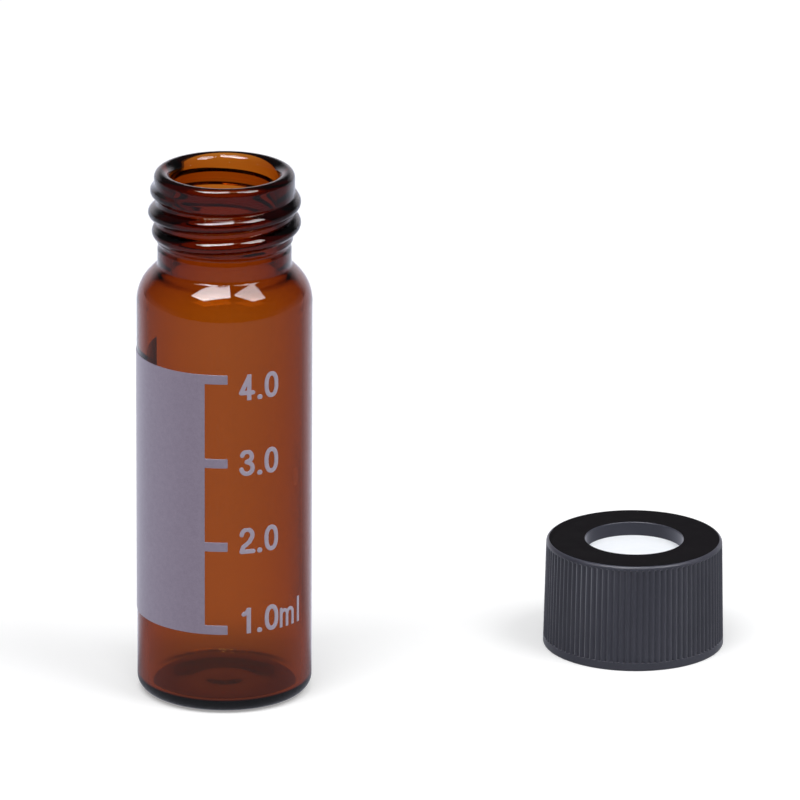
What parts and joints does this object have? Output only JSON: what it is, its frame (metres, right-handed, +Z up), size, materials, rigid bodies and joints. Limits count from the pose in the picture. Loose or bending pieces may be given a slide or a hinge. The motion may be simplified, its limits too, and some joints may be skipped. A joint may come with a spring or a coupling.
{
  "type": "glass sample vial",
  "caption": "Screw-neck glass sample vial with a fired-on writing panel and millilitre marks, beside its open-top cap with a bonded septum.",
  "frame": {"origin": "on the vial's axis at the level it stands on, under the pip in the middle of the recessed underside, to within 0.15 mm", "axes": "+Z up along the vial's axis, +X to the right of the marks' reading side, -Y towards the reader"},
  "size_m": [0.05, 0.0259, 0.0455],
  "materials": {
    "amber_glass": "clear brown-tinted borosilicate glass, fire polished",
    "enamel": "matt fired-on ceramic ink",
    "black_polypropylene": "moulded, satin outside and glossy inside",
    "white_silicone": "matt silicone",
    "red_film": "smooth fluoropolymer film"
  },
  "bodies": {
    "root": {"vial_glass": "amber_glass", "marking_enamel": "enamel", "cap_shell": "black_polypropylene", "septum_silicone": "white_silicone", "septum_film": "red_film"}
  },
  "joints": []
}
